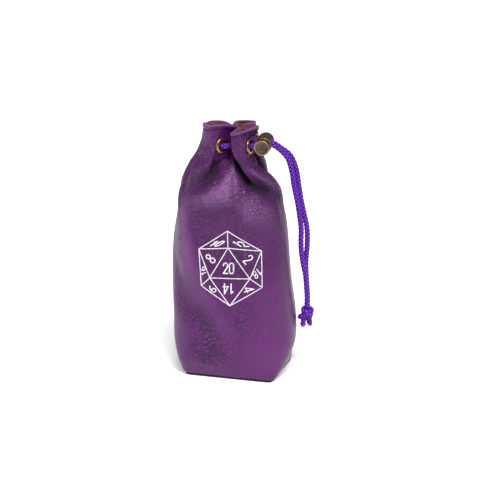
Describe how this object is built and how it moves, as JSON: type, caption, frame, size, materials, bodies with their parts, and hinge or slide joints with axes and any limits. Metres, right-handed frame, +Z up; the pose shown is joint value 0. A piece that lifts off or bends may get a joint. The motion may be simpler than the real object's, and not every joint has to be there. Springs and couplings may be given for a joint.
{
  "type": "drawstring dice bag",
  "caption": "Small leather drawstring pouch that stands on a boxed bottom, with a gathered neck, brass eyelets, a sprung metal cord lock and a knotted braided cord.",
  "frame": {"origin": "centre of the pouch's box, on the surface it stands on", "axes": "+Z up, front with the printed die towards -Y, cord lock and hanging cord on the +X side"},
  "size_m": [0.0807, 0.0544, 0.145],
  "materials": {
    "leather": "pebbled purple leather with a soft gloss",
    "suede_lining": "napped dusty red suede",
    "eyelet_brass": "polished antique brass",
    "lock_metal": "dark antique brass, worn bright on the edges",
    "spring_steel": "drawn spring wire",
    "braided_cord": "braided violet nylon"
  },
  "bodies": {
    "bag": {"front_panel": "leather", "back_panel": "leather", "lining_front": "suede_lining", "lining_back": "suede_lining", "eyelet_1": "eyelet_brass", "eyelet_washer_1": "eyelet_brass", "eyelet_2": "eyelet_brass", "eyelet_washer_2": "eyelet_brass", "eyelet_3": "eyelet_brass", "eyelet_washer_3": "eyelet_brass", "eyelet_4": "eyelet_brass", "eyelet_washer_4": "eyelet_brass", "eyelet_5": "eyelet_brass", "eyelet_washer_5": "eyelet_brass", "eyelet_6": "eyelet_brass", "eyelet_washer_6": "eyelet_brass", "eyelet_7": "eyelet_brass", "eyelet_washer_7": "eyelet_brass", "eyelet_8": "eyelet_brass", "eyelet_washer_8": "eyelet_brass", "lock_barrel": "lock_metal", "lock_spring": "spring_steel", "drawstring": "braided_cord", "tail_a": "braided_cord", "tail_b": "braided_cord", "stopper_knot": "braided_cord", "cord_end_a": "braided_cord", "cord_end_b": "braided_cord"},
    "button": {"lock_plunger": "lock_metal"}
  },
  "joints": [
    {"name": "lock_button_press", "type": "slide", "parent": "bag", "child": "button", "axis": [0.1587, 0.9837, 0.0846], "range_m": [0, 0.002], "stiffness_N_per_m": 350, "springref_m": -0.002, "deforming": ["lock_spring"]}
  ]
}
